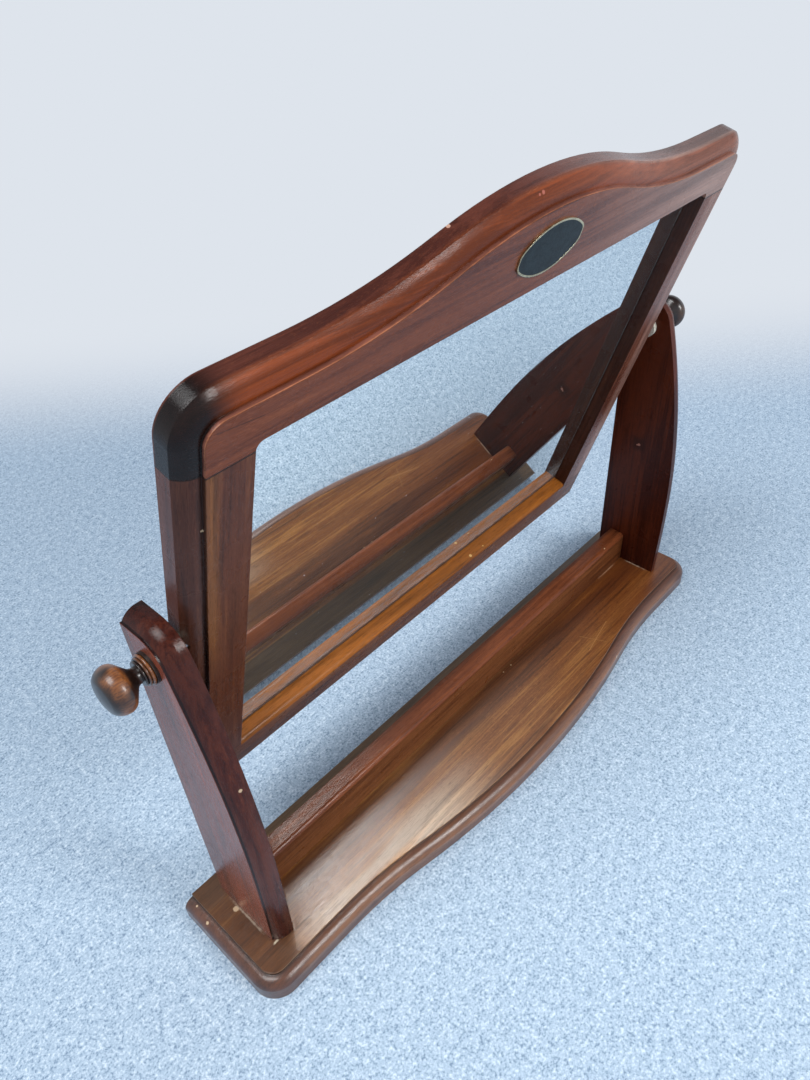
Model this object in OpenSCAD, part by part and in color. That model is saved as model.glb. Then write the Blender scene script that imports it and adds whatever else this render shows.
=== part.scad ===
// Table mirror: a moulded tray base, two shaped uprights and a crested frame
// that tilts between two turned clamping knobs. Sizes are in millimetres.
// +Z is up, the viewer stands on the -Y side, the origin is the middle of the base's underside.

/* [Base board] */
// length of the base board along X
base_w = 600; // [560:1:680]
// depth of the base board at the middle of its bowed front
base_d = 126; // [118:1:150]
// thickness of the base board
base_t = 22; // [18:0.5:30]
// how far the middle of the front stands out past its two ends
base_bow = 21.44; // [16:0.16:24]
// radius of the full middle of the front
base_convex_r = 778.75; // [667.5:4.45:845.5]
// radius of the two front corners
base_corner_r = 20; // [14:0.5:30]
// width of the thumbnail moulding seen from above
base_mould_w = 8.5; // [5:0.5:12]
// depth of the square step at the top of the base moulding
base_step = 3; // [2:0.1:4]
// height of the rounded part of the base moulding
base_round = 7; // [5:0.5:9]

/* [Uprights] */
// distance from an upright's outer face to the end of the base
up_margin = 27; // [24:0.5:40]
// thickness of the upright boards
up_t = 16; // [14:0.5:20]
// height of the uprights above the base board
up_h = 298.5; // [290:0.5:330]
// greatest depth of an upright, from its straight rear edge to its bowed front
up_d = 68.5; // [62:0.5:76]
// radius of the front below its fullest point
up_low_r = 1650; // [1400:10:2400]
// radius of the front above its fullest point
up_high_r = 679; // [620:1:720]
// radius of the front top corner
up_corner_r = 24; // [16:0.5:30]
// distance from the base's rear edge to the uprights' rear edges
up_inset = 14.5; // [6:0.5:20]
// width of the moulding on the outer face
up_mould_w = 5.5; // [5:0.5:8]
// depth of the step in the upright's moulding
up_step = 1.5; // [0.8:0.1:2.5]
// how far the rounded edge reaches into the thickness
up_round = 9; // [6:0.5:10]

/* [Rear rail] */
// thickness of the rail that stands on the base between the uprights
rail_t = 16; // [12:0.5:18]
// height of the rail above the base board
rail_h = 33.5; // [24:0.5:45]
// distance from the base's rear edge to the rail's front face
rail_front = 42.3; // [38:0.5:50]
// radius along the rail's top front edge
rail_edge_r = 4; // [2:0.5:6]

/* [Pivot and knobs] */
// height of the pivot axis above the floor
pivot_z = 294.2; // [288:0.1:306]
// distance from the base's rear edge to the pivot axis
pivot_rear = 35.3; // [32:0.1:40]
// how far the mirror leans towards the viewer at rest, in degrees
lean = 17.9; // [0:0.1:30]
// radius of the threaded stud
stud_r = 3; // [2.5:0.25:3.5]
// radial running clearance between a stud and each hole it turns in
run_gap = 0.07; // [0.03:0.01:0.1]
// thickness of the spacer between a stile and its upright
spacer_t = 4.3; // [3:0.1:6]
// outer radius of the spacer
spacer_r = 9; // [7:0.5:10]
// thickness of the pressure washer under a knob
washer_t = 2; // [1:0.1:3]
// outer radius of the pressure washer
washer_r = 10.4; // [8:0.1:12]
// outer radius of the threaded insert
insert_r = 4; // [3.8:0.1:4.2]
// length of the threaded insert
insert_l = 12; // [8:0.5:14]
// how far the insert sits below the stile's outer edge
insert_set = 3.6; // [1:0.1:5]
// length of stud inside the insert with the knob tight
stud_grip = 11; // [6:0.5:12]
// length of stud glued into the knob
stud_hold = 16; // [10:0.5:20]
// radius of the knob's neck
neck_r = 5.3; // [4.5:0.1:6]
// length of the knob's foot and neck
neck_l = 6.7; // [6:0.1:9]
// radius of the hollow between neck and head
neck_cove = 4; // [3:0.5:5]
// radius of the knob's head at its rim
head_r = 15.3; // [14:0.1:18]
// radius of the rounding below the rim
head_round = 6.5; // [4:0.5:8]
// radius of the rounding above the rim
cap_r = 9.5; // [8:0.5:10]
// radius of the shallow dome on top
dome_r = 35; // [30:1:38]

/* [Mirror frame] */
// thickness of the frame
fr_t = 20; // [19:0.5:24]
// distance from the pivot down to the frame's lower edge
fr_down = 208.2; // [190:0.5:225]
// distance from the pivot up to the top of the crest
fr_up = 212; // [200:0.5:225]
// width of each stile
stile_w = 40.4; // [38:0.2:50]
// height of the bottom rail
bottom_h = 31.9; // [28:0.1:40]
// distance from the pivot up to the joint between stiles and top rail
joint_v = 141.9; // [130:0.1:150]
// how far the top rail's lower edge rises above that joint between the stiles
ear_h = 5; // [3:0.5:8]
// radius of the full middle of the crest
crest_r = 280; // [250:1:300]
// straight run between the crest's full and hollow parts
crest_run = 14.5; // [4:0.5:30]
// radius of the crest's two hollow parts
crest_cove_r = 331; // [300:1:350]
// radius of the frame's two top corners
fr_corner_r = 24; // [16:0.5:28]
// width of the moulding on the frame's front
fr_mould_w = 12.1; // [9:0.1:13]
// depth of the step in the frame's moulding
fr_step = 3; // [2:0.1:3.5]
// depth of the rounded part of the frame's moulding
fr_round = 6.5; // [4:0.1:6.5]
// radius along the bottom rail's inner front edge
bead_r = 4; // [2:0.5:6]

/* [Glass and back] */
// how far the mirror's face is set behind the frame's front
glass_set = 12.5; // [9:0.1:13]
// thickness of the mirror glass
glass_t = 3; // [2:0.1:3]
// width of the rebate that holds the glass
glass_reb = 6; // [4:0.5:7]
// play around the edge of the glass
glass_play = 0.5; // [0.2:0.1:1]
// thickness of the back panel
panel_t = 3; // [2.5:0.1:3.4]
// width of the rebate that holds the back panel
panel_reb = 16; // [13:0.5:18]
// radius of the head of a panel screw
pan_r = 2.8; // [2:0.1:3.2]
// length of a panel screw under its head
pan_l = 10; // [8:0.5:14]

/* [Fastenings and plate] */
// radius of the wood screws that come up through the base
screw_r = 2; // [1.6:0.1:2.5]
// length of those wood screws
screw_l = 45; // [38:1:50]
// depth of a screw head below the base's underside
screw_sink = 1; // [0.5:0.1:2]
// radius of the dowels in the frame's corners
dowel_r = 4; // [3:0.5:4]
// length of dowel on each side of a joint
dowel_half = 20; // [15:0.5:24]
// half length of the oval plate
plate_a = 31; // [26:0.5:36]
// half height of the oval plate
plate_b = 16.5; // [12:0.5:18]
// thickness of the oval plate
plate_t = 1; // [0.6:0.1:2]
// width of the plate's bright rim
plate_rim = 1.2; // [0.8:0.1:2]
// height of the oval plate's centre above the pivot
plate_v = 174.6; // [165:0.5:182]

/* [Hidden] */
base_y = base_d / 2;                     // rear edge of the base
seat_gap = 0.03;                         // glue line round dowels, inserts and screws
out_x = base_w / 2 - up_margin;          // outer face of an upright
in_x = out_x - up_t;                     // inner face of an upright
fr_w = 2 * (in_x - spacer_t);            // width of the mirror frame
fr_x = fr_w / 2;
open_x = fr_x - stile_w;                 // half width of the opening
open_top = joint_v + ear_h;
open_bot = bottom_h - fr_down;
hole_r = stud_r + run_gap;
back_w = -fr_t / 2;                      // the frame's back, measured from the pivot plane
glass_w = fr_t / 2 - glass_set;          // the mirror's face
panel_w = glass_w - glass_t;             // the panel's front
knob_a = washer_t;                       // where the knob starts outside the upright

// An outline is a list of pieces, with the material on its left: a straight one is its two
// ends; an arc is its ends, centre, radius, 1 for full or -1 for hollow, and the directions
// from its centre to its ends. Directions come from whole-number right triangles, 7-24-25,
// 3-4-5 and 84-437-445, so every junction falls on a round figure and the pieces meet exactly.
function arc(c, r, a, b, s) = [c + r * a / norm(a), c + r * b / norm(b), c, r, s, a, b];
// a direction stretched a whole number of times, to at least the length l
function reach(d, l) = d * ceil(l / norm(d));
// the same outline pieces on the other side of the y axis
function flip(p) = [for (i = [len(p) - 1:-1:0]) let (q = p[i], m = function(v) [-v[0], v[1]])
    len(q) == 2 ? [m(q[1]), m(q[0])]
        : [m(q[1]), m(q[0]), m(q[2]), q[3], q[4], m(q[6]), m(q[5])]];
// number of facets that keeps an arc's error under 0.01 mm
function fine(r) = max(48, 12 * ceil(180 / acos(1 - 0.01 / max(r, 1)) / 12));

// the piece between an arc and its chord
module bulge(q) {
    intersection() {
        translate(q[2]) circle(q[3], $fn = fine(q[3]));
        polygon([q[0], q[0] + reach(q[5], q[3] / 2), q[1] + reach(q[6], q[3] / 2), q[1]]);
    }
}

// flat shape inside an outline
module shape(path) {
    difference() {
        union() {
            polygon(concat([for (q = path) q[0]], [path[len(path) - 1][1]]));
            for (q = path) if (q[4] == 1) bulge(q);
        }
        for (q = path) if (q[4] == -1) bulge(q);
    }
}

// section of what the moulding takes off: x inwards from the edge, y up;
// the round is one arc that leaves the edge at 8 degrees or more
module section(q) {
    w = q[1];
    h = q[3];
    b = q[0] - q[2] - h;
    t = atan(h / w);
    p = min(t, 82 - t);
    r = sqrt(w * w + h * h) / (2 * sin(p));
    difference() {
        translate([-2, b - 1]) square([w + 2, q[2] + h + 2]);
        translate([w / 2 + r * cos(p) * sin(t), b + h / 2 - r * cos(p) * cos(t)])
            circle(r, $fn = fine(r));
    }
}

// the moulding's cutter along one piece of an outline
module run(p, q) {
    if (len(p) == 2) {
        d = p[1] - p[0];
        translate([p[0][0], p[0][1], 0]) rotate([0, 0, atan2(d[1], d[0])])
            rotate([90, 0, 90]) linear_extrude(norm(d)) section(q);
    } else {
        a = reach(p[5], 1.2 * p[3] + 30);
        b = reach(p[6], 1.2 * p[3] + 30);
        translate([p[2][0], p[2][1], 0]) intersection() {
            rotate([0, 0, a[0] + b[0] > 0 ? 180 : 0]) rotate_extrude($fn = fine(p[3]))
                translate([p[3], 0]) mirror([p[4] == 1 ? 1 : 0, 0]) section(q);
            translate([0, 0, -1]) linear_extrude(q[0] + 4) polygon([[0, 0], a, a + b, b]);
        }
    }
}

// carves the moulding q into the children, piece by piece along the outline
module carve(path, q, k = 0) {
    difference() {
        if (k < len(path) - 1) carve(path, q, k + 1) children();
        else children();
        run(path[k], q);
    }
}

// base outline, from the rear left corner round the front; e runs on past the rear edge
bow_k = base_bow / 8;
base_cove_r = 445 * bow_k - base_convex_r;
front_y = base_bow - base_d / 2;
function base_half(e) = [
    [[-base_w / 2, base_y + e], [-base_w / 2, front_y + base_corner_r]],
    arc([-base_w / 2 + base_corner_r, front_y + base_corner_r], base_corner_r, [-1, 0], [0, -1], 1),
    [[-base_w / 2 + base_corner_r, front_y], [-84 * bow_k, front_y]],
    arc([-84 * bow_k, front_y - base_cove_r], base_cove_r, [0, 1], [84, 437], -1)];
function base_path(e) = concat(base_half(e),
    [arc([0, base_convex_r - base_d / 2], base_convex_r, [-84, -437], [84, -437], 1)],
    flip(base_half(e)));

// upright outline in its own plane: x from the rear edge forwards, y up from the base;
// it starts below the base's top and is cut off there
up_reach = up_high_r - up_corner_r;
up_full_z = up_h - up_corner_r - 0.28 * up_reach;
function up_path(e) = [
    arc([up_d - up_low_r, up_full_z], up_low_r, [3116, -237], [1, 0], 1),
    arc([up_d - up_high_r, up_full_z], up_high_r, [1, 0], [24, 7], 1),
    arc([up_d - up_high_r + 0.96 * up_reach, up_h - up_corner_r], up_corner_r, [24, 7], [0, 1], 1),
    [[up_d - up_high_r + 0.96 * up_reach, up_h], [-e, up_h]]];
up_foot = up_d - up_low_r + sqrt(up_low_r * up_low_r - up_full_z * up_full_z);

// frame outline in its own plane: x across, y up from the pivot
crest_u = 0.28 * (crest_r + crest_cove_r) + 0.96 * crest_run;
crest_v = fr_up - 0.04 * (crest_r + crest_cove_r) - 0.28 * crest_run;
function fr_half(e) = [
    [[fr_x, -fr_down - e], [fr_x, crest_v - fr_corner_r]],
    arc([fr_x - fr_corner_r, crest_v - fr_corner_r], fr_corner_r, [1, 0], [0, 1], 1),
    [[fr_x - fr_corner_r, crest_v], [crest_u, crest_v]],
    arc([crest_u, crest_v + crest_cove_r], crest_cove_r, [0, -1], [-7, -24], -1),
    [[crest_u - 0.28 * crest_cove_r, crest_v + 0.04 * crest_cove_r],
        [0.28 * crest_r, fr_up - 0.04 * crest_r]]];
function fr_path(e) = concat(fr_half(e),
    [arc([0, fr_up - crest_r], crest_r, [7, 24], [-7, 24], 1)], flip(fr_half(e)));

// mouldings: thickness of the board, width, step, height of the round
base_q = [base_t, base_mould_w, base_step, base_round];
up_q = [up_t, up_mould_w, up_step, up_round];
fr_q = [fr_t / 2, fr_mould_w, fr_step, fr_round];

rail_y = base_y - rail_front;            // front face of the rail
up_y = base_y - up_inset;                // rear edge of the uprights
up_screws = [for (k = [0.25, 0.75]) [out_x - up_t / 2, up_y - k * up_foot]];
rail_screws = [for (k = [-1, 0, 1]) [k * in_x * 0.66, rail_y + rail_t / 2]];
screws = concat(up_screws, [for (p = up_screws) [-p[0], p[1]]], rail_screws);
dowel_x = [open_x + glass_reb + dowel_r + 0.2, open_x + glass_reb + 3 * dowel_r + 8.2];
dowel_w = 1.5;
pans = concat([for (i = [-1, 0, 1], s = [0, 1])
        [i * open_x * 0.8, s == 0 ? open_bot - panel_reb + 5 : open_top + panel_reb - 5]],
    [for (j = [0.3, 0.7], s = [-1, 1])
        [s * (open_x + panel_reb - 5), open_bot + j * (open_top - open_bot)]]);

wood = [0.36, 0.19, 0.12];
dark = [0.22, 0.11, 0.08];

module wood_screw(l, r, head) {
    cylinder(l, r = r, $fn = 24);
    cylinder(head - r, r1 = head, r2 = r, $fn = 24);
}

module screw_holes(r) {
    for (p = screws) translate([p[0], p[1], screw_sink]) {
        cylinder(screw_l, r = r, $fn = 24);
        cylinder(screw_r + seat_gap, r1 = 2 * screw_r + seat_gap, r2 = screw_r, $fn = 24);
        translate([0, 0, -screw_sink - 1])
            cylinder(screw_sink + 1, r = 2 * screw_r + seat_gap, $fn = 24);
    }
}

module base_board() {
    color(wood) difference() {
        carve(base_path(2), base_q) linear_extrude(base_t) shape(base_path(0));
        screw_holes(screw_r + seat_gap);
    }
}

module rear_rail() {
    color(wood) difference() {
        translate([-in_x, rail_y, base_t]) rotate([90, 0, 90]) linear_extrude(2 * in_x)
            difference() {
                square([rail_t, rail_h]);
                translate([-1, rail_h - rail_edge_r]) difference() {
                    square([rail_edge_r + 1, rail_edge_r + 1]);
                    translate([rail_edge_r + 1, 0]) circle(rail_edge_r, $fn = 48);
                }
            }
        screw_holes(screw_r + seat_gap);
    }
}

module upright() {
    difference() {
        translate([-in_x, up_y, base_t]) rotate([90, 0, -90]) intersection() {
            carve(up_path(2), up_q) linear_extrude(up_t)
                shape(concat(up_path(0), [[[0, up_h], [0, -30]]]));
            translate([-1, 0, -1]) cube([up_d + 2, up_h + 1, up_t + 2]);
        }
        translate([-out_x - 1, base_y - pivot_rear, pivot_z]) rotate([0, 90, 0])
            cylinder(up_t + 2, r = hole_r, $fn = 48);
        screw_holes(screw_r + seat_gap);
    }
}

module left_upright() { color(wood) upright(); }
module right_upright() { color(wood) mirror([1, 0, 0]) upright(); }

module base_screws() {
    color([0.7, 0.66, 0.5]) for (p = screws) translate([p[0], p[1], screw_sink])
        wood_screw(screw_l, screw_r, 2 * screw_r);
}

// puts what is drawn in the frame's plane where the frame hangs at rest
module hang() {
    translate([0, base_y - pivot_rear, pivot_z]) rotate([90 + lean, 0, 0]) children();
}

module opening_shape() {
    translate([-open_x, open_bot]) square([2 * open_x, open_top - ear_h - open_bot]);
    translate([-open_x + ear_h, open_bot])
        square([2 * (open_x - ear_h), open_top - open_bot]);
    for (s = [-1, 1]) translate([s * (open_x - ear_h), open_top - ear_h])
        circle(ear_h, $fn = 48);
}

// the opening and both rebates behind it
module opening_cut() {
    translate([0, 0, back_w - 1]) linear_extrude(fr_t + 2) opening_shape();
    translate([-open_x - glass_reb, open_bot - glass_reb, back_w - 1])
        cube([2 * (open_x + glass_reb), open_top - open_bot + 2 * glass_reb, glass_w - back_w + 1]);
    translate([-open_x - panel_reb, open_bot - panel_reb, back_w - 1])
        cube([2 * (open_x + panel_reb), open_top - open_bot + 2 * panel_reb, panel_w - back_w + 1]);
}

module dowel_set(r, h) {
    for (s = [-1, 1], x = dowel_x, v = [joint_v, open_bot])
        translate([s * x, v - h, dowel_w]) rotate([-90, 0, 0]) cylinder(2 * h, r = r, $fn = 36);
}

module pan_holes() {
    for (p = pans) translate([p[0], p[1], back_w - 1])
        cylinder(panel_w - back_w + 1 + pan_l, r = 1.5, $fn = 24);
}

// one member of the frame, from its moulded blank
module member() {
    difference() {
        children();
        opening_cut();
        dowel_set(dowel_r + seat_gap, dowel_half + 0.5);
        pan_holes();
    }
}

module top_rail() {
    color(wood) hang() member() intersection() {
        carve(fr_path(2), fr_q) translate([0, 0, back_w]) linear_extrude(fr_t)
            shape(fr_path(0));
        translate([-fr_x - 1, joint_v, back_w - 1]) cube([2 * fr_x + 2, fr_up, fr_t + 2]);
    }
}

module stile() {
    member() carve([[[-fr_x, joint_v + 2], [-fr_x, open_bot - 2]]], fr_q) difference() {
        translate([-fr_x, open_bot, back_w]) cube([stile_w, joint_v - open_bot, fr_t]);
        translate([-fr_x - 1, 0, 0]) rotate([0, 90, 0])
            cylinder(insert_set + insert_l + 4, r = insert_r + seat_gap, $fn = 48);
    }
}

module left_stile() { color(wood) hang() stile(); }
module right_stile() { color(wood) hang() mirror([1, 0, 0]) stile(); }

module bottom_rail() {
    color(wood) hang() difference() {
        member() carve([[[fr_x, -fr_down - 2], [fr_x, open_bot + 2]],
            [[-fr_x, open_bot + 2], [-fr_x, -fr_down - 2]]], fr_q)
            translate([-fr_x, -fr_down, back_w]) cube([2 * fr_x, bottom_h, fr_t]);
        translate([-open_x, open_bot, fr_t / 2]) rotate([90, 0, 90]) linear_extrude(2 * open_x)
            difference() {
                translate([-bead_r, -bead_r]) square(bead_r + 1);
                translate([-bead_r, -bead_r]) circle(bead_r, $fn = 48);
            }
    }
}

module frame_dowels() {
    color([0.72, 0.55, 0.35]) hang() dowel_set(dowel_r, dowel_half);
}

module mirror_glass() {
    e = glass_reb - glass_play;
    color([0.8, 0.86, 0.88]) hang() translate([-open_x - e, open_bot - e, panel_w])
        cube([2 * (open_x + e), open_top - open_bot + 2 * e, glass_t]);
}

module back_panel() {
    e = panel_reb - glass_play;
    color([0.55, 0.42, 0.28]) hang() difference() {
        translate([-open_x - e, open_bot - e, panel_w - panel_t])
            cube([2 * (open_x + e), open_top - open_bot + 2 * e, panel_t]);
        pan_holes();
    }
}

module panel_screws() {
    color([0.75, 0.72, 0.62]) hang() for (p = pans) translate([p[0], p[1], 0]) {
        translate([0, 0, panel_w - panel_t])
            cylinder(panel_t + pan_l - 2, r = 1.5 - seat_gap, $fn = 24);
        translate([0, 0, panel_w - panel_t - 1.2]) cylinder(1.2, r = pan_r, $fn = 24);
    }
}

// four-arc oval, d smaller all round
module oval(d) {
    m = (plate_a - plate_b) / 2;
    r1 = plate_b - m - d;
    r2 = plate_b + 4 * m - d;
    shape([arc([3 * m, 0], r1, [3, -4], [3, 4], 1), arc([0, -4 * m], r2, [3, 4], [-3, 4], 1),
        arc([-3 * m, 0], r1, [-3, 4], [-3, -4], 1), arc([0, 4 * m], r2, [-3, -4], [3, -4], 1)]);
}

module plate_rim_ring() {
    color([0.72, 0.6, 0.36]) hang() translate([0, plate_v, fr_t / 2]) difference() {
        linear_extrude(plate_t) oval(0);
        translate([0, 0, plate_t * 0.4]) linear_extrude(plate_t) oval(plate_rim);
    }
}

module plate_field() {
    color([0.06, 0.09, 0.08]) hang() translate([0, plate_v, fr_t / 2 + plate_t * 0.4])
        linear_extrude(plate_t * 0.5) oval(plate_rim + 0.05);
}

// draws a turned or drilled piece along the left pivot axis; z is outwards, 0 at the upright
module axle() {
    translate([-out_x, base_y - pivot_rear, pivot_z]) rotate([0, -90, 0]) children();
}

module ring(z, h, r, bore) {
    translate([0, 0, z]) difference() {
        cylinder(h, r = r, $fn = 64);
        translate([0, 0, -1]) cylinder(h + 2, r = bore, $fn = 48);
    }
}

module insert() {
    axle() ring(-up_t - spacer_t - insert_set - insert_l, insert_l, insert_r, hole_r);
}
module spacer() { axle() ring(-up_t - spacer_t, spacer_t, spacer_r, hole_r); }
module washer() { axle() ring(0, washer_t, washer_r, hole_r); }

module stud() {
    low = -up_t - spacer_t - insert_set - stud_grip;
    axle() translate([0, 0, low]) {
        translate([0, 0, 0.8]) cylinder(knob_a + stud_hold - low - 0.8, r = stud_r, $fn = 48);
        cylinder(0.8, r1 = stud_r - 0.8, r2 = stud_r, $fn = 48);
    }
}

// half section of the knob: neck, swelling head and shallow cap, all tangent arcs
neck_top = knob_a + neck_l;
flare = (head_r - neck_r - 0.4 * (neck_cove + head_round)) / 0.8;
flare_z = neck_top + 0.8 * neck_cove;
rim_z = flare_z + 0.6 * flare + 0.8 * head_round;
edge_r = (head_r - 0.4 * cap_r - 0.28 * dome_r) / 0.32;
edge = [head_r - 0.4 * cap_r - 0.6 * edge_r, rim_z + 0.8 * cap_r - 0.8 * edge_r];
knob_path = [
    [[0, knob_a], [neck_r, knob_a]],
    [[neck_r, knob_a], [neck_r, neck_top]],
    arc([neck_r + neck_cove, neck_top], neck_cove, [-1, 0], [-3, 4], -1),
    [[neck_r + 0.4 * neck_cove, flare_z], [neck_r + 0.4 * neck_cove + 0.8 * flare,
        flare_z + 0.6 * flare]],
    arc([head_r - head_round, rim_z], head_round, [3, -4], [1, 0], 1),
    arc([head_r - cap_r, rim_z], cap_r, [1, 0], [3, 4], 1),
    arc(edge, edge_r, [3, 4], [7, 24], 1),
    arc([0, edge[1] + 0.96 * (edge_r - dome_r)], dome_r, [7, 24], [0, 1], 1)];

module knob() {
    axle() difference() {
        rotate_extrude($fn = 96) {
            shape(knob_path);
            for (b = [[9, 1.1, 1.1], [8.3, 3.1, 0.9], [7.3, 4.8, 0.8]]) {
                translate([0, knob_a + b[1] - b[2]]) square([b[0], 2 * b[2]]);
                translate([b[0], knob_a + b[1]]) circle(b[2], $fn = 36);
            }
        }
        translate([0, 0, knob_a - 1])
            cylinder(stud_hold + 1.5, r = stud_r + seat_gap, $fn = 48);
    }
}

module left_insert() { color([0.8, 0.62, 0.25]) insert(); }
module right_insert() { color([0.8, 0.62, 0.25]) mirror([1, 0, 0]) insert(); }
module left_spacer() { color([0.9, 0.88, 0.8]) spacer(); }
module right_spacer() { color([0.9, 0.88, 0.8]) mirror([1, 0, 0]) spacer(); }
module left_washer() { color([0.12, 0.1, 0.09]) washer(); }
module right_washer() { color([0.12, 0.1, 0.09]) mirror([1, 0, 0]) washer(); }
module left_stud() { color([0.7, 0.7, 0.7]) stud(); }
module right_stud() { color([0.7, 0.7, 0.7]) mirror([1, 0, 0]) stud(); }
module left_knob() { color(dark) knob(); }
module right_knob() { color(dark) mirror([1, 0, 0]) knob(); }

base_board();
rear_rail();
left_upright();
right_upright();
base_screws();
top_rail();
left_stile();
right_stile();
bottom_rail();
frame_dowels();
mirror_glass();
back_panel();
panel_screws();
plate_rim_ring();
plate_field();
left_insert();
right_insert();
left_spacer();
right_spacer();
left_washer();
right_washer();
left_stud();
right_stud();
left_knob();
right_knob();
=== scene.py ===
import math

import bpy
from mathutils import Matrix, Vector

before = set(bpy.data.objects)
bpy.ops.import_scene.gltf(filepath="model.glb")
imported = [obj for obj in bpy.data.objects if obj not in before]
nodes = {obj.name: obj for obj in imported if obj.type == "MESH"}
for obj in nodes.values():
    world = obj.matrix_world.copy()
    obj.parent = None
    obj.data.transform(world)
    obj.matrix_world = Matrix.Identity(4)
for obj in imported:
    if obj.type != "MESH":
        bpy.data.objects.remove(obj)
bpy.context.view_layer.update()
scene = bpy.context.scene

# the leaning frame, in metres: its pivot line, and its opening and faces measured from the pivot
LEAN = math.radians(17.9)
PIVOT = (0.0, 0.0277, 0.2942)
OPEN_HALF, OPEN_TOP, OPEN_BOTTOM = 0.2123, 0.1469, -0.1763
DUST_AND_REFLECTION_TOP = -0.1400          # the glass is free of dust and painted reflection above it
FRONT_W = 0.0085            # what lies further forward is the frame's front face
STEP_W = 0.0092             # where the pale arris of its moulding's step begins, a painted highlight

# named axes: x, y, z of the room and u, v, w of the frame, each a direction and its zero
SIN, COS = math.sin(LEAN), math.cos(LEAN)
ORIGIN = (0, 0, 0)
AXES = {"x": ((1, 0, 0), ORIGIN), "y": ((0, 1, 0), ORIGIN), "z": ((0, 0, 1), ORIGIN),
        "u": ((1, 0, 0), PIVOT), "v": ((0, -SIN, COS), PIVOT), "w": ((0, -COS, -SIN), PIVOT)}
END = 0.4                   # beyond either end of the part, for tints that run off it

# turns that bring a board's grain onto X
ALONG_X = (0, 0, 0)
ALONG_Z = (0, math.radians(90), 0)
FRAME_X = (-(math.pi / 2 + LEAN), 0, 0)
FRAME_V = (-(math.pi / 2 + LEAN), 0, math.radians(-90))

# pattern scales per metre, along and across the grain
SLOW, RINGS, STREAK = (2.2, 16, 16), (5, 120, 120), (9, 520, 520)
VEINS, FLECKS, PORES = (22, 430, 430), (260, 1500, 1500), (150, 2600, 2600)
WANDER = (5, 50, 50)


class Nodes:
    """Short calls for building a node tree."""

    def __init__(self, tree):
        self.tree = tree
        tree.nodes.clear()

    def link(self, a, b):
        self.tree.links.new(a, b)

    def node(self, kind, inputs=None, **attrs):
        n = self.tree.nodes.new("ShaderNode" + kind)
        for k, v in attrs.items():
            setattr(n, k, v)
        for k, v in (inputs or {}).items():
            if isinstance(v, bpy.types.NodeSocket):
                self.link(v, n.inputs[k])
            else:
                n.inputs[k].default_value = v
        return n

    def math(self, op, a, b=0.0, clamp=False):
        return self.node("Math", {0: a, 1: b}, operation=op, use_clamp=clamp).outputs[0]

    def vector(self, op, a, b=(0, 0, 0)):
        """A vector operation; the distance, length and dot product give one number."""
        n = self.node("VectorMath", {0: a, 1: b}, operation=op)
        return n.outputs["Value" if op in ("DISTANCE", "LENGTH", "DOT_PRODUCT") else "Vector"]

    def span(self, value, low, high, smooth=False):
        """0 at low, 1 at high, level beyond them; high may be the smaller."""
        return self.node("MapRange", {0: value, 1: low, 2: high},
                         interpolation_type="SMOOTHSTEP" if smooth else "LINEAR").outputs[0]

    def ramp(self, fac, stops, smooth="EASE"):
        n = self.node("ValToRGB", {"Fac": fac})
        n.color_ramp.interpolation = smooth
        e = n.color_ramp.elements
        while len(e) < len(stops):
            e.new(0.5)
        for el, (p, c) in zip(e, stops):
            el.position = p
            el.color = (*c, 1) if hasattr(c, "__len__") else (c, c, c, 1)
        return n.outputs["Color"]

    def mix(self, fac, a, b, how="MIX"):
        n = self.node("Mix", {0: fac}, data_type="RGBA", blend_type=how)
        for i, v in ((6, a), (7, b)):
            if isinstance(v, bpy.types.NodeSocket):
                self.link(v, n.inputs[i])
            else:
                n.inputs[i].default_value = (*v, 1)
        return n.outputs[2]

    def seen(self):
        """1 for rays from the camera, and for those that metal or glass sends on."""
        rays = self.node("LightPath").outputs
        return self.math("MAXIMUM", rays["Is Camera Ray"],
                         self.math("MAXIMUM", rays["Is Glossy Ray"], rays["Is Transmission Ray"]))


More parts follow.
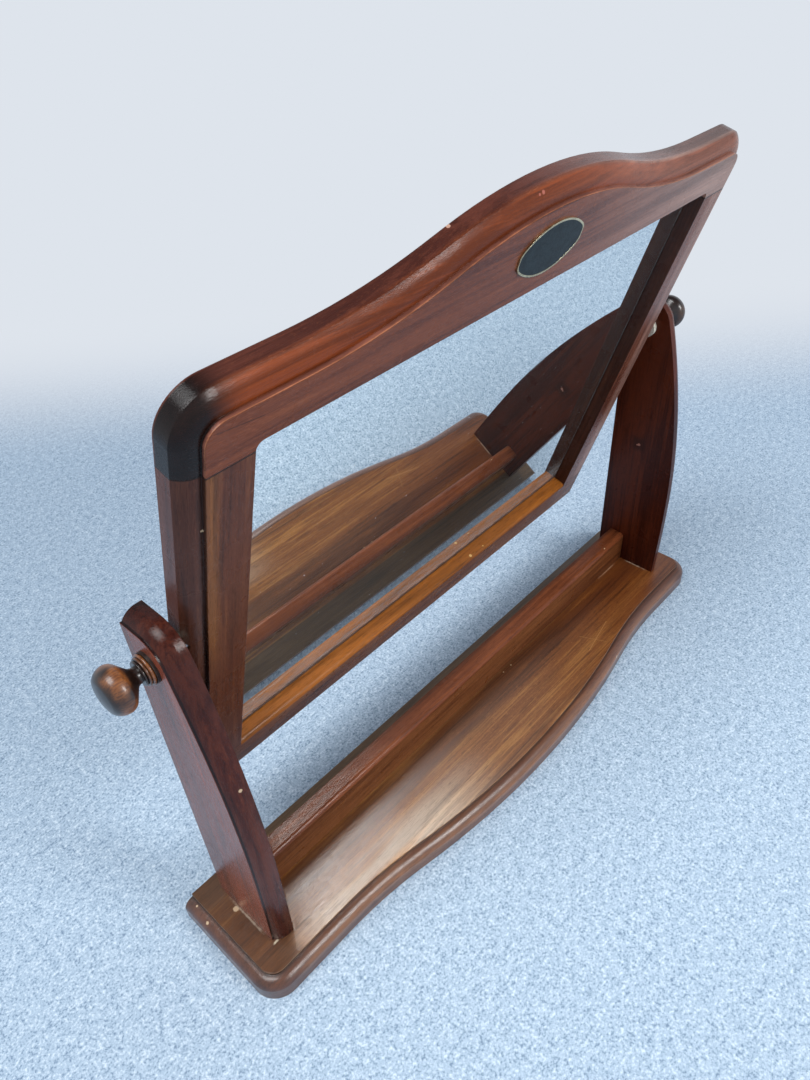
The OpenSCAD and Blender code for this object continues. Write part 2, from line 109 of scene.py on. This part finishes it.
class Material(Nodes):
    """A material, with patterns and masks in the part's own coordinates."""

    def __init__(self, name):
        self.mat = bpy.data.materials.new(name)
        self.mat.use_nodes = True
        super().__init__(self.mat.node_tree)
        self.out = self.node("OutputMaterial")
        self.co = self.node("TexCoord").outputs["Object"]

    def place(self, turn, scale, loc=(0, 0, 0)):
        """Coordinates turned and then scaled, so that the scale is along the piece's own axes."""
        turned = self.node("Mapping", {"Vector": self.co, "Location": loc, "Rotation": turn},
                           vector_type="POINT").outputs[0]
        return self.node("Mapping", {"Vector": turned, "Scale": scale}).outputs[0]

    def noise(self, co, detail=2.0, rough=0.5, distort=0.0):
        return self.node("TexNoise", {"Vector": co, "Scale": 1.0, "Detail": detail, "Roughness": rough,
                                      "Distortion": distort}).outputs["Fac"]

    def near(self, point, radius):
        """1 at the point, 0 further away than the radius."""
        far = self.math("DIVIDE", self.vector("DISTANCE", self.co, point), radius)
        return self.math("SUBTRACT", 1.0, far, clamp=True)

    def along(self, axis):
        """Distance along a named axis."""
        direction, origin = AXES[axis]
        return self.vector("DOT_PRODUCT", self.vector("SUBTRACT", self.co, origin), direction)

    def inside(self, limits, wobble=None):
        """1 where every (axis, low, high, softness) holds."""
        total = None
        for axis, lo, hi, soft in limits:
            d = self.along(axis)
            if wobble is not None:
                d = self.math("ADD", d, wobble)
            for a, b in ((lo - soft, lo + soft), (hi + soft, hi - soft)):
                m = self.span(d, a, b, smooth=True)
                total = m if total is None else self.math("MULTIPLY", total, m)
        return total

    def stroke(self, a, b, half):
        """1 on the straight line from a to b, 0 beyond half its width."""
        run = Vector(b) - Vector(a)
        rel = self.vector("SUBTRACT", self.co, a)
        s = self.math("DIVIDE", self.vector("DOT_PRODUCT", rel, tuple(run)), run.length_squared, clamp=True)
        foot = self.node("VectorMath", {0: tuple(run), "Scale": s}, operation="SCALE").outputs[0]
        return self.span(self.vector("DISTANCE", rel, foot), half, half * 0.35)

    def shader(self, inputs, bump=(), bevel=0.0):
        """Principled shader; bump is a list of (height, strength, distance)."""
        normal = None
        if bevel:
            normal = self.node("Bevel", {"Radius": bevel}, samples=6).outputs[0]
        for h, strength, dist in bump:
            i = {"Height": h, "Strength": strength, "Distance": dist}
            if normal is not None:
                i["Normal"] = normal
            normal = self.node("Bump", i).outputs[0]
        b = self.node("BsdfPrincipled", inputs)
        if normal is not None:
            self.link(normal, b.inputs["Normal"])
            self.link(normal, b.inputs["Coat Normal"])
        self.link(b.outputs[0], self.out.inputs[0])
        return self.mat


def srgb(r, g, b):
    """Linear colour of a 0-255 screen colour."""
    return tuple((c / 255 / 12.92) if c <= 10 else ((c / 255 + 0.055) / 1.055) ** 2.4 for c in (r, g, b))


def scaled(colour, k):
    return tuple(c * k for c in colour)


def give(mat, *names):
    for n in names:
        slots = nodes[n].data.materials
        slots.clear()
        slots.append(mat)


def wood(name, turn, seed, dark, mid, light, rough=0.28, coat=0.12, coat_rough=0.1, gloss=0.14,
         sheen=0.03, pore=0.55, bands=(), strokes=(), nicks=(), dust=()):
    """Stained hardwood under lacquer. turn brings the grain onto X; the rest is local tone, wear and painted
    light and shade:
    bands (limits, tint, amount, loose edge), strokes (from, to, half width, tint, amount),
    nicks (point, radius, tint), dust (centre, half sizes, tint, amount)."""
    t = Material(name)
    off = (seed * 1.37, seed * 0.71, seed * 0.43)

    # slow change of tone along the board, and the figure of its growth rings
    slow = t.noise(t.place(turn, SLOW, off), 3, 0.55, 0.6)
    rings = t.noise(t.place(turn, RINGS, off), 4, 0.6, 1.2)
    streak = t.noise(t.place(turn, STREAK, off), 3, 0.6, 0.4)
    tone = t.math("ADD", t.math("MULTIPLY", slow, 0.5), t.math("MULTIPLY", rings, 0.32))
    tone = t.math("ADD", tone, t.math("MULTIPLY", streak, 0.24))
    colour = t.ramp(tone, [(0.40, dark), (0.51, mid), (0.62, light)])
    fleck = t.noise(t.place(turn, FLECKS, tuple(o + 3 for o in off)), 2, 0.6)
    colour = t.mix(t.ramp(fleck, [(0.56, 0.0), (0.74, 0.30)], "LINEAR"), colour,
                   tuple(min(1, c * 1.9 + 0.01) for c in light))

    # local tints, which change the tone and leave the figure; loose edges wander by up to 2 mm
    figure = t.ramp(tone, [(0.42, 0.40), (0.53, 0.70), (0.64, 1.0)])
    if any(loose for *_, loose in bands):
        wobble = t.math("SUBTRACT", t.noise(t.place(turn, WANDER, off), 2), 0.5)
        wobble = t.math("MULTIPLY", wobble, 0.004)
    for limits, tint, amount, loose in bands:
        where = t.math("MULTIPLY", t.inside(limits, wobble if loose else None), amount)
        colour = t.mix(where, colour, t.mix(1.0, scaled(tint, 1.45), figure, "MULTIPLY"))

    # dark veins, and pores as short dark lines along the grain
    veins = t.noise(t.place(turn, VEINS, tuple(o + 7 for o in off)), 3, 0.65, 0.3)
    vein = t.ramp(veins, [(0.34, 1.0), (0.47, 0.0)], "LINEAR")
    pores = t.noise(t.place(turn, PORES, off), 1.5, 0.5)
    pore_mask = t.ramp(pores, [(0.30, 1.0), (0.42, 0.0)], "LINEAR")
    colour = t.mix(t.math("MULTIPLY", vein, pore * 0.8), colour, (0.34, 0.28, 0.26), "MULTIPLY")
    colour = t.mix(t.math("MULTIPLY", pore_mask, pore), colour, scaled(dark, 0.30))

    # painted shade: darker in corners and recesses found by the occlusion node, with stain and polish gathered
    # there
    corner_shade = t.node("AmbientOcclusion", {"Distance": 0.004}, samples=8, only_local=True).outputs["AO"]
    colour = t.mix(t.ramp(corner_shade, [(0.30, 0.35), (0.62, 0.0)]), colour, scaled(dark, 0.25))

    # scratches, dents and dust
    for a, b, half, tint, amount in strokes:
        colour = t.mix(t.math("MULTIPLY", t.stroke(a, b, half), amount), colour, tint)
    if nicks:
        grit = t.math("ADD", t.noise(t.place(ALONG_X, (900, 900, 900)), 2), 0.6)
    for point, radius, tint in nicks:
        m = t.math("MULTIPLY", t.near(point, radius), grit)
        colour = t.mix(t.ramp(m, [(0.30, 0.0), (0.48, 0.85)], "LINEAR"), colour, tint)
    if dust:
        crumbs = t.math("MULTIPLY", t.noise(t.place(ALONG_X, (420, 420, 420)), 3, 0.65), 1.7)
    for centre, half, tint, amount in dust:
        rel = t.vector("DIVIDE", t.vector("SUBTRACT", t.co, centre), half)
        s = t.node("SeparateXYZ", {0: t.vector("ABSOLUTE", rel)}).outputs
        far = t.math("MAXIMUM", t.math("MAXIMUM", s[0], s[1]), s[2])
        m = t.math("MULTIPLY", t.math("SUBTRACT", 1.15, far, clamp=True), crumbs)
        m = t.ramp(m, [(0.38, 0.0), (0.80, 1.0)], "LINEAR")
        colour = t.mix(t.math("MULTIPLY", m, amount), colour, tint)

    smear = t.noise(t.place(ALONG_X, (34, 34, 34), off), 3, 0.6)
    r = t.math("ADD", rough, t.math("MULTIPLY", t.math("SUBTRACT", smear, 0.5), 0.2))
    r = t.math("ADD", r, t.math("MULTIPLY", pore_mask, 0.18), clamp=True)
    return t.shader({"Base Color": colour, "Roughness": r, "Specular IOR Level": gloss, "IOR": 1.5,
                     "Sheen Weight": sheen, "Sheen Roughness": 0.3,
                     "Coat Weight": coat, "Coat Roughness": coat_rough, "Coat IOR": 1.5},
                    bump=[(smear, 0.12, 0.002), (rings, 0.10, 0.0006), (pores, 0.35, 0.00025)], bevel=0.0006)


PALE = srgb(214, 186, 150)      # bare wood in a dent
PINK = srgb(170, 100, 84)
ROSE = srgb(190, 130, 110)
STRAW = srgb(226, 186, 120)
TAN = srgb(190, 140, 84)        # a scratch in the lacquer
GRIME = srgb(60, 40, 26)
SEAM = srgb(24, 12, 8)          # dirt in a joint
TOP = 0.022                     # the tray's upper face
ON_TOP = ("z", TOP - 0.0005, 0.03, 0.0003)

# base board: golden brown tray, painted shadow along the rail, darker along the front curve, painted sheen at
# its left front, painted shade on the strip behind the rail, brown moulding: golden band of wear and painted
# highlight on its round, dark line of painted shade and dirt and pale arris of wear and painted highlight at
# its step
give(wood("tray_wood", ALONG_X, 1, srgb(70, 34, 12), srgb(124, 72, 28), srgb(166, 112, 54), rough=0.36,
          coat=0.5, coat_rough=0.24, gloss=0.5,
          # painted shadow of the rail and frame on the tray along the rail
          bands=[([("y", -0.003, 0.021, 0.007), ON_TOP], srgb(66, 34, 18), 0.68, True),
                 # painted shade on the strip behind the rail, in the rail's shadow
                 ([("y", 0.0415, 0.08, 0.0005)], srgb(92, 72, 50), 0.9, True),
                 ([("y", -0.053, -0.047, 0.002), ("x", -0.09, 0.12, 0.02), ON_TOP],
                  srgb(72, 38, 26), 0.5, True),
                 ([("x", 0.14, END, 0.12), ("y", -0.1, 0.03, 0.001)], srgb(112, 54, 20), 0.55, True),
                 # painted sheen: the tray's left front lightened and greyed
                 ([("x", -0.25, -0.08, 0.05), ("y", -0.052, -0.018, 0.008), ON_TOP],
                  srgb(192, 172, 150), 0.7, True),
                 ([("x", -END, -0.262, 0.006)], srgb(84, 50, 24), 0.8, True),
                 ([("z", -0.01, 0.0192, 0.0003)], srgb(86, 50, 36), 0.8, False),
                 # wear and painted highlight: golden band along the moulding's round
                 ([("z", 0.0085, 0.0150, 0.002), ("x", -0.27, 0.27, 0.01)], srgb(146, 98, 62), 0.6, True),
                 # painted shade and dirt: dark line in the corner at the foot of the step
                 ([("z", 0.0189, 0.0204, 0.0002)], srgb(40, 20, 14), 0.8, False),
                 # wear and painted highlight: pale arris at the top of the step
                 ([("z", 0.0206, 0.0219, 0.0001)], srgb(170, 128, 94), 0.6, False)],
          strokes=[((0.118, -0.030, TOP), (0.163, -0.021, TOP), 0.00035, TAN, 0.7),
                   ((0.128, -0.012, TOP), (0.139, -0.036, TOP), 0.0003, TAN, 0.6),
                   ((-0.2282, 0.0002, TOP), (-0.2262, 0.0022, TOP), 0.0004, GRIME, 0.7),
                   ((-0.2262, 0.0022, TOP), (-0.2238, 0.0014, TOP), 0.0004, GRIME, 0.7)],
          nicks=[((0.1367, -0.0509, 0.012), 0.0024, PALE), ((0.0539, 0.017, TOP), 0.0010, PALE),
                 ((0.0422, 0.017, TOP), 0.0009, PALE), ((-0.2965, 0.0377, 0.0174), 0.0020, PALE),
                 ((-0.294, 0.0539, 0.0186), 0.0014, PALE), ((-0.2759, 0.0275, TOP), 0.0034, PALE)],
          dust=[((-0.2738, 0.016, TOP), (0.0014, 0.031, 0.001), srgb(176, 160, 140), 0.7),
                ((-0.2718, -0.0145, TOP), (0.004, 0.0016, 0.001), srgb(200, 186, 160), 0.9),
                ((0.2562, 0.0016, TOP), (0.0014, 0.019, 0.001), srgb(198, 172, 146), 0.95),
                ((0.23, 0.0199, TOP), (0.026, 0.0013, 0.001), srgb(190, 150, 118), 0.7),
                ((0.0, 0.0199, TOP), (0.25, 0.0010, 0.001), srgb(120, 92, 62), 0.3)]), "base_board")

# rear rail: reddish upper face, darker along its rear half
RAIL_FACE = ("z", 0.0515, 0.07, 0.0008)
give(wood("rail_wood", ALONG_X, 2, srgb(56, 28, 14), srgb(96, 52, 26), srgb(126, 76, 42),
          rough=0.3, coat=0.2,
          bands=[([RAIL_FACE], srgb(120, 62, 36), 0.65, False),
                 ([RAIL_FACE, ("y", 0.033, 0.05, 0.0008)], srgb(90, 52, 36), 0.7, True)],
          nicks=[((0.2237, 0.0234, 0.0553), 0.0012, PALE)]), "rear_rail")

# left upright: darker head; outer face lightened and reddened, a painted sheen; a dark line of painted shade
# where its moulding starts
give(wood("left_post_wood", ALONG_Z, 3, srgb(30, 10, 7), srgb(64, 22, 13), srgb(90, 40, 24), rough=0.24,
          coat=0.2, coat_rough=0.06,
          bands=[([("z", 0.25, 0.40, 0.03)], srgb(40, 16, 12), 0.5, True),
                 # painted sheen: the outer face lightened for the floor's reflection
                 ([("x", -0.28, -0.2729, 0.0001)], srgb(134, 64, 42), 0.95, False),
                 # painted shade: dark line in the groove where the moulding starts
                 ([("x", -0.2727, -0.2712, 0.0002)], srgb(22, 8, 8), 0.85, False)],
          nicks=[((-0.2629, -0.0138, 0.204), 0.0020, PALE), ((-0.2625, -0.0150, 0.188), 0.0009, PALE)],
          strokes=[((-0.2730, 0.0290, 0.0290), (-0.2730, 0.0355, 0.0325), 0.0016, srgb(28, 30, 36), 0.8),
                   ((-0.2730, 0.0290, 0.0305), (-0.2730, 0.0355, 0.0342), 0.0005, srgb(170, 170, 170), 0.7)],
          dust=[((-0.2731, 0.008, 0.025), (0.0006, 0.026, 0.0024), srgb(110, 92, 78), 0.5)]), "left_upright")
give(wood("right_post_wood", ALONG_Z, 4, srgb(30, 9, 5), srgb(60, 20, 9), srgb(88, 36, 17), rough=0.3,
          bands=[([("y", 0.012, 0.026, 0.004), ("z", 0.164, 0.178, 0.004)], srgb(30, 12, 8), 0.6, True)],
          nicks=[((0.257, 0.0184, 0.1708), 0.0022, ROSE), ((0.257, 0.0205, 0.1700), 0.0012, ROSE)]),
     "right_upright")

# crest: paler right end, a painted reflection; orange round; painted highlight on the step's wall and pale
# arris; black left corner that ends at the joint
give(wood("crest_wood", FRAME_X, 5, srgb(84, 38, 20), srgb(112, 56, 30), srgb(138, 76, 42), rough=0.26,
          coat=0.18, coat_rough=0.06, pore=0.3,
          # painted reflection: the right end paled for the wall's sheen
          bands=[([("u", 0.10, END, 0.12)], srgb(172, 142, 130), 0.65, True),
                 ([("w", -0.02, 0.0, 0.002)], srgb(68, 37, 36), 0.68, True),
                 ([("w", 0.0015, 0.0076, 0.0006)], srgb(132, 58, 18), 0.7, False),
                 # painted highlight on the step's wall, which faces up
                 ([("w", 0.0073, STEP_W, 0.0003)], srgb(142, 92, 80), 0.7, False),
                 # painted highlight on the pale arris
                 ([("w", STEP_W, 0.00985, 0.0001)], srgb(180, 120, 90), 0.7, False),
                 ([("w", -0.0092, 0.0080, 0.0006), ("u", -0.3, -0.226, 0.012)], srgb(12, 8, 8), 0.97, False),
                 ([("v", 0.141, 0.1424, 0.0003)], SEAM, 0.8, False)],
          strokes=[((-0.2345, -0.0329, 0.4493), (-0.2082, -0.0318, 0.4458), 0.0004, SEAM, 0.75),
                   ((-0.2082, -0.0318, 0.4458), (-0.1800, -0.0316, 0.4452), 0.0003, SEAM, 0.5)],
          nicks=[((-0.0761, -0.0254, 0.4887), 0.0020, srgb(190, 150, 130)),
                 ((-0.0157, -0.0399, 0.4919), 0.0018, PINK), ((-0.0190, -0.0400, 0.4915), 0.0012, PINK)]),
     "top_rail")

# stiles: dark joints; on the left one a golden strip, a side paled by painted sheen and a step darkened by
# painted shade; on the right one a pale edge of painted sheen and a reveal darkened by painted shade
JOINTS = [([("v", 0.1412, 0.1421, 0.0003)], SEAM, 0.85, False),
          ([("v", -0.1768, -0.1757, 0.0003)], SEAM, 0.85, False)]
give(wood("left_stile_wood", FRAME_V, 6, srgb(62, 30, 18), srgb(90, 46, 28), srgb(112, 64, 38),
          bands=[([("u", -0.2412, -0.2345, 0.003), ("w", FRONT_W, 0.02, 0.0004), ("v", -0.02, 0.2, 0.05)],
                  srgb(134, 84, 40), 0.6, True),
                 # painted sheen: the side greyed and paled
                 ([("w", -0.0095, 0.0004, 0.0008)], srgb(88, 50, 42), 0.6, False),
                 ([("w", 0.0006, 0.0066, 0.0008)], srgb(54, 26, 18), 0.6, False),
                 # painted shade on the step
                 ([("w", 0.0068, 0.0095, 0.0004)], srgb(26, 14, 12), 0.7, False)] + JOINTS,
          nicks=[((-0.241, -0.0106, 0.3901), 0.0014, PALE)]), "left_stile")
give(wood("right_stile_wood", FRAME_V, 7, srgb(44, 18, 12), srgb(84, 42, 28), srgb(112, 62, 42), sheen=0.08,
          # painted sheen: the outer edge paled
          bands=[([("u", 0.226, END, 0.003)], srgb(150, 112, 98), 0.6, True),
                 # painted shade on the reveal, which faces away from the light
                 ([("u", 0.2, 0.2130, 0.0005)], srgb(34, 16, 10), 0.7, False)] + JOINTS), "right_stile")

# bottom rail: golden reveal, lighter where it faces up: painted light
give(wood("bottom_rail_wood", FRAME_X, 8, srgb(56, 26, 8), srgb(98, 48, 16), srgb(128, 74, 30),
          # painted light: the upward-facing reveal and its edge lightened to gold
          bands=[([("v", -0.1808, -0.1, 0.0008), ("u", -0.2121, 0.2121, 0.0004), ("w", -0.0070, 0.02, 0.0004)],
                  srgb(150, 88, 34), 0.95, False),
                 ([("v", -0.1768, -0.1757, 0.0003), ("u", -0.3, -OPEN_HALF, 0.0003)], SEAM, 0.8, False)],
          nicks=[((0.0636, 0.0752, 0.1241), 0.0022, STRAW), ((0.0820, 0.0752, 0.1241), 0.0010, STRAW)]),
     "bottom_rail")


def turned(name, wear):
    """Near-black turned wood, worn back to golden brown on its swellings."""
    t = Material(name)
    s = t.node("SeparateXYZ", {0: t.vector("SUBTRACT", t.co, PIVOT)}).outputs
    out = t.math("ABSOLUTE", s[0])
    r = t.math("SQRT", t.math("ADD", t.math("MULTIPLY", s[1], s[1]), t.math("MULTIPLY", s[2], s[2])))
    grain = t.noise(t.place(ALONG_X, (90, 900, 900), (3, 1, 2)), 3, 0.6, 0.4)
    cloud = t.noise(t.place(ALONG_X, (46, 46, 46), (1, 5, 2)), 2, 0.5)
    rings = t.noise(t.node("CombineXYZ", {0: t.math("MULTIPLY", out, 1400.0), 1: r}).outputs[0], 2)
    # the ball's fullest part and the collar beside the upright
    head = t.span(r, 0.0098, 0.0142, smooth=True)
    foot = t.math("MULTIPLY", t.span(r, 0.0085, 0.0098), t.span(out, 0.2795, 0.2785))
    worn = t.math("MAXIMUM", t.math("MULTIPLY", head, t.ramp(cloud, [(0.42, 0.0), (0.62, 1.0)])),
                  t.math("MULTIPLY", foot, 0.9))
    worn = t.math("MULTIPLY", worn, t.ramp(grain, [(0.3, 0.8 * wear), (0.6, wear)]))
    colour = t.mix(worn, t.ramp(grain, [(0.35, srgb(18, 10, 8)), (0.65, srgb(38, 20, 12))]),
                   t.ramp(grain, [(0.35, srgb(116, 64, 28)), (0.65, srgb(148, 90, 44))]))
    return t.shader({"Base Color": colour, "Roughness": t.ramp(cloud, [(0.3, 0.30), (0.7, 0.42)]),
                     "Specular IOR Level": 0.5, "Coat Weight": 0.35, "Coat Roughness": 0.16, "Coat IOR": 1.5},
                    bump=[(rings, 0.12, 0.0002), (grain, 0.1, 0.0002)], bevel=0.0003)


def beech():
    t = Material("dowel_beech")
    n = t.noise(t.place(FRAME_V, (60, 900, 900)), 3)
    return t.shader({"Base Color": t.ramp(n, [(0.35, srgb(160, 120, 80)), (0.65, srgb(206, 170, 122))]),
                     "Roughness": 0.6}, bump=[(n, 0.3, 0.0002)])


def board():
    """Smooth face of a hardboard back."""
    t = Material("back_hardboard")
    fibre = t.noise(t.place(ALONG_X, (500, 500, 500)), 4, 0.7)
    cloud = t.noise(t.place(ALONG_X, (22, 22, 22)), 3)
    tone = t.math("ADD", t.math("MULTIPLY", fibre, 0.75), t.math("MULTIPLY", cloud, 0.25))
    return t.shader({"Base Color": t.ramp(tone, [(0.36, srgb(88, 60, 38)), (0.5, srgb(122, 88, 58)),
                                                 (0.66, srgb(146, 110, 76))]),
                     "Roughness": t.ramp(cloud, [(0.3, 0.45), (0.7, 0.62)])}, bump=[(fibre, 0.35, 0.0003)])


def metal(name, a, b, rough):
    t = Material(name)
    fine = t.noise(t.place(ALONG_X, (900, 540, 900)), 3, 0.6)
    big = t.noise(t.place(ALONG_X, (60, 60, 60)), 3)
    tone = t.math("ADD", t.math("MULTIPLY", fine, 0.5), t.math("MULTIPLY", big, 0.5))
    return t.shader({"Base Color": t.ramp(tone, [(0.35, a), (0.65, b)]), "Metallic": 1.0,
                     "Roughness": t.ramp(big, [(0.3, rough - 0.07), (0.7, rough + 0.1)])},
                    bump=[(fine, 0.15, 0.0001)], bevel=0.0002)


def plain(name, a, b, rough):
    t = Material(name)
    n = t.noise(t.place(ALONG_X, (1200, 1200, 1200)), 3, 0.6)
    return t.shader({"Base Color": t.ramp(n, [(0.35, a), (0.65, b)]),
                     "Roughness": t.ramp(n, [(0.3, rough - 0.06), (0.7, rough + 0.08)])},
                    bump=[(n, 0.25, 0.0001)], bevel=0.0003)


def enamel():
    """Dark blue-black enamel of the plate, left bare."""
    t = Material("plate_enamel")
    cloud = t.noise(t.place(FRAME_X, (180, 180, 180)), 3)
    fine = t.noise(t.place(FRAME_X, (1600, 1600, 1600)), 2)
    return t.shader({"Base Color": t.ramp(cloud, [(0.3, srgb(8, 16, 19)), (0.7, srgb(22, 33, 37))]),
                     "Roughness": t.ramp(fine, [(0.3, 0.30), (0.7, 0.46)]), "Specular IOR Level": 0.2},
                    bump=[(fine, 0.12, 0.00008), (cloud, 0.1, 0.0003)])


def mirror():
    """Silvered glass, dusty, darker along a ragged line against its frame, widest along its foot, with a brown
    veil there of dust and painted reflection.
    """
    t = Material("silvered_glass")
    smear = t.noise(t.place(FRAME_X, (14, 40, 14)), 4, 0.65, 0.8)
    speck = t.noise(t.place(FRAME_X, (420, 420, 420)), 2, 0.5)
    speck = t.ramp(speck, [(0.74, 0.0), (0.78, 1.0)], "LINEAR")

    # a ragged seam, wider along the foot, where distances count for less
    u, v = t.math("ABSOLUTE", t.along("u")), t.along("v")
    foot = t.math("MULTIPLY", t.math("SUBTRACT", v, OPEN_BOTTOM), 0.28)
    edge = t.math("MINIMUM", t.math("SUBTRACT", OPEN_HALF, u),
                  t.math("MINIMUM", t.math("SUBTRACT", OPEN_TOP, v), foot))
    width = t.math("MULTIPLY", t.noise(t.place(FRAME_X, (120, 120, 120)), 4, 0.7), 0.0036)
    seam = t.math("SUBTRACT", 1.0, t.math("DIVIDE", edge, width), clamp=True)
    seam = t.ramp(seam, [(0.0, 0.0), (0.35, 0.9)])

    # a thin brown veil above it, settled dust and a painted reflection of the wood below
    settled = t.noise(t.place(FRAME_X, (40, 160, 160)), 3, 0.6)
    dust_and_reflection = t.math("MULTIPLY", t.span(v, DUST_AND_REFLECTION_TOP, OPEN_BOTTOM), t.ramp(settled, [(0.35, 0.10), (0.65, 0.45)]))

    colour = t.mix(t.math("MULTIPLY", speck, 0.35), srgb(248, 251, 250), srgb(236, 234, 228))
    colour = t.mix(dust_and_reflection, colour, srgb(74, 54, 34))
    colour = t.mix(seam, colour, srgb(30, 20, 14))
    rough = t.math("ADD", t.ramp(smear, [(0.45, 0.0), (0.8, 0.04)]), t.math("MULTIPLY", speck, 0.35))
    metallic = t.math("SUBTRACT", 0.985, t.math("MAXIMUM", seam, dust_and_reflection), clamp=True)
    return t.shader({"Base Color": colour, "Metallic": metallic, "Roughness": rough,
                     "Coat Weight": 0.1, "Coat Roughness": 0.0, "Coat IOR": 1.5})


give(turned("left_knob_wood", 0.85), "left_knob")
give(turned("right_knob_wood", 0.15), "right_knob")
give(beech(), "frame_dowels")
give(board(), "back_panel")
give(metal("zinc_screw", srgb(150, 148, 132), srgb(206, 202, 184), 0.34), "base_screws", "panel_screws")
give(metal("stud_steel", srgb(120, 120, 122), srgb(186, 186, 188), 0.3), "left_stud", "right_stud")
give(metal("insert_brass", srgb(150, 112, 50), srgb(204, 166, 88), 0.3), "left_insert", "right_insert")
give(metal("plate_rim", srgb(178, 160, 124), srgb(228, 214, 180), 0.3), "plate_rim_ring")
give(plain("spacer_nylon", srgb(206, 200, 182), srgb(228, 222, 206), 0.45), "left_spacer", "right_spacer")
give(plain("washer_fibre", srgb(20, 13, 10), srgb(50, 32, 22), 0.45), "left_washer", "right_washer")
give(mirror(), "mirror_glass")
give(enamel(), "plate_field")

# floor: pale blue-grey felt that turns into the background's white far off, soonest behind the part
BACKGROUND = srgb(222, 228, 236)
BEHIND = (0.70, 0.71, 0)
FAR_END = 0.95
bpy.ops.mesh.primitive_plane_add(size=24, location=(0, 0, 0))
floor = bpy.context.object
floor.name = "floor"
t = Material("floor_felt")
far = t.math("MAXIMUM", t.vector("DOT_PRODUCT", t.co, BEHIND),
             t.math("SUBTRACT", t.vector("LENGTH", t.co), 0.75))
fibre = t.noise(t.place(ALONG_X, (480, 480, 480)), 3, 0.75)
tuft = t.noise(t.place(ALONG_X, (160, 160, 160)), 3, 0.65, 0.4)
felt = t.math("ADD", t.math("MULTIPLY", fibre, 0.7), t.math("MULTIPLY", tuft, 0.3))
felt = t.ramp(felt, [(0.37, srgb(120, 142, 167)), (0.5, srgb(174, 195, 214)), (0.63, srgb(216, 230, 242))])
fade = t.ramp(t.span(far, 0.48, FAR_END), [(0.0, 0.0), (1.0, 1.0)])
t.shader({"Base Color": t.mix(fade, felt, srgb(226, 231, 238)), "Roughness": 0.9, "Specular IOR Level": 0.15},
         bump=[(fibre, 0.25, 0.0008)])
lit = t.out.inputs[0].links[0].from_socket
glow = t.node("Emission", {"Color": (*BACKGROUND, 1), "Strength": 1.0}).outputs[0]
share = t.math("MULTIPLY", t.span(far, 0.50, FAR_END, smooth=True), t.seen())
t.link(t.node("MixShader", {0: share, 1: lit, 2: glow}).outputs[0], t.out.inputs[0])
floor.data.materials.append(t.mat)


def lamp(name, where, size, power, colour):
    """A soft lamp that points at the part."""
    d = bpy.data.lights.new(name, "AREA")
    d.shape = "RECTANGLE"
    d.size, d.size_y = size
    d.energy = power
    d.color = colour
    o = bpy.data.objects.new(name, d)
    o.location = where
    o.rotation_euler = (Vector((0, 0, 0.1)) - Vector(where)).to_track_quat("-Z", "Y").to_euler()
    scene.collection.objects.link(o)


lamp("key", (0.36, -1.76, 1.30), (0.6, 0.7), 25, (1.0, 0.99, 0.98))
lamp("top", (-0.98, 0.12, 2.05), (0.95, 0.95), 29, (0.98, 0.99, 1.0))

# world: soft ambient light; what is seen of it is the background, darker overhead
world = bpy.data.worlds.new("room")
scene.world = world
world.use_nodes = True
w = Nodes(world.node_tree)
height = w.node("SeparateXYZ", {0: w.node("TexCoord").outputs["Generated"]}).outputs["Z"]
sky = w.ramp(height, [(0.45, BACKGROUND), (0.80, (0.16, 0.17, 0.19))], "LINEAR")
ambient = w.node("Background", {"Color": (0.84, 0.90, 1.0, 1), "Strength": 0.50}).outputs[0]
background = w.node("Background", {"Color": sky}).outputs[0]
surface = w.node("MixShader", {0: w.seen(), 1: ambient, 2: background}).outputs[0]
w.node("OutputWorld", {0: surface})

# camera at the photograph's viewing angle
cam = bpy.data.cameras.new("camera")
cam.sensor_width = 36
cam.lens = 27.497
cam.clip_start, cam.clip_end = 0.01, 60
eye = bpy.data.objects.new("camera", cam)
eye.location = (-0.390, -0.297, 0.631)
eye.rotation_euler = [math.radians(a) for a in (50.34523, 3.00453, -47.22158)]
scene.collection.objects.link(eye)
scene.camera = eye
scene.view_settings.view_transform = "Standard"
